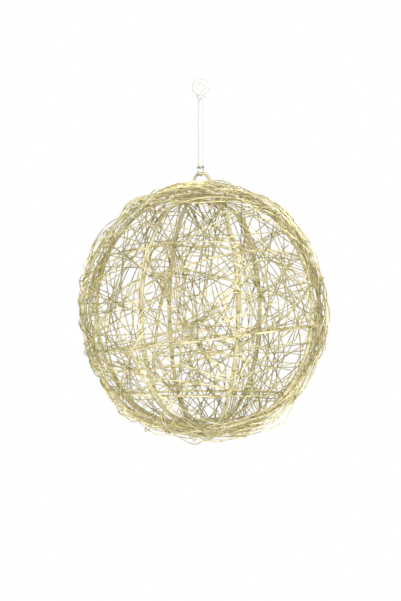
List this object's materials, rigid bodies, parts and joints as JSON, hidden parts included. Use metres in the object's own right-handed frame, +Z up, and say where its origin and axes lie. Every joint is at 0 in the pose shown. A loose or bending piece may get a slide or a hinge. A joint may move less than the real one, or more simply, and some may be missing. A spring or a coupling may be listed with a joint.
{
  "type": "metal ball ornament",
  "caption": "Hanging ball ornament of thin champagne-gold wire wound over a frame of rod rings, with a top loop and a white cord.",
  "frame": {"origin": "top inside of the eye of the cord, where the ornament hangs", "axes": "+Z up along the cord, -Y towards the viewer of the picture, +X to the viewer's right"},
  "size_m": [0.2004, 0.2005, 0.2927],
  "materials": {
    "frame_paint": "satin champagne-gold paint on steel rod",
    "winding_paint": "satin champagne-gold paint on thin steel wire",
    "bail_wire": "bare thin wire, slightly dull",
    "white_cord": "smooth white round cord"
  },
  "bodies": {
    "root": {"cord_bail": "bail_wire", "cord_eye": "white_cord", "hanging_cord": "white_cord", "hanging_loop": "frame_paint", "hoop_low": "frame_paint", "hoop_middle": "frame_paint", "hoop_tilted": "frame_paint", "rib_ring_1": "frame_paint", "rib_ring_2": "frame_paint", "rib_ring_3": "frame_paint", "rib_ring_4": "frame_paint", "winding_wire_01": "winding_paint", "winding_wire_02": "winding_paint", "winding_wire_03": "winding_paint", "winding_wire_04": "winding_paint", "winding_wire_05": "winding_paint", "winding_wire_06": "winding_paint", "winding_wire_07": "winding_paint", "winding_wire_08": "winding_paint", "winding_wire_09": "winding_paint", "winding_wire_10": "winding_paint", "winding_wire_11": "winding_paint", "winding_wire_12": "winding_paint", "winding_wire_13": "winding_paint", "winding_wire_14": "winding_paint", "winding_wire_15": "winding_paint", "winding_wire_16": "winding_paint", "winding_wire_17": "winding_paint", "winding_wire_18": "winding_paint", "winding_wire_19": "winding_paint", "winding_wire_20": "winding_paint", "winding_wire_21": "winding_paint", "winding_wire_22": "winding_paint", "winding_wire_23": "winding_paint", "winding_wire_24": "winding_paint", "winding_wire_25": "winding_paint", "winding_wire_26": "winding_paint", "winding_wire_27": "winding_paint", "winding_wire_28": "winding_paint", "winding_wire_29": "winding_paint", "winding_wire_30": "winding_paint", "winding_wire_31": "winding_paint", "winding_wire_32": "winding_paint", "winding_wire_33": "winding_paint", "winding_wire_34": "winding_paint", "winding_wire_35": "winding_paint", "winding_wire_36": "winding_paint"}
  },
  "joints": []
}
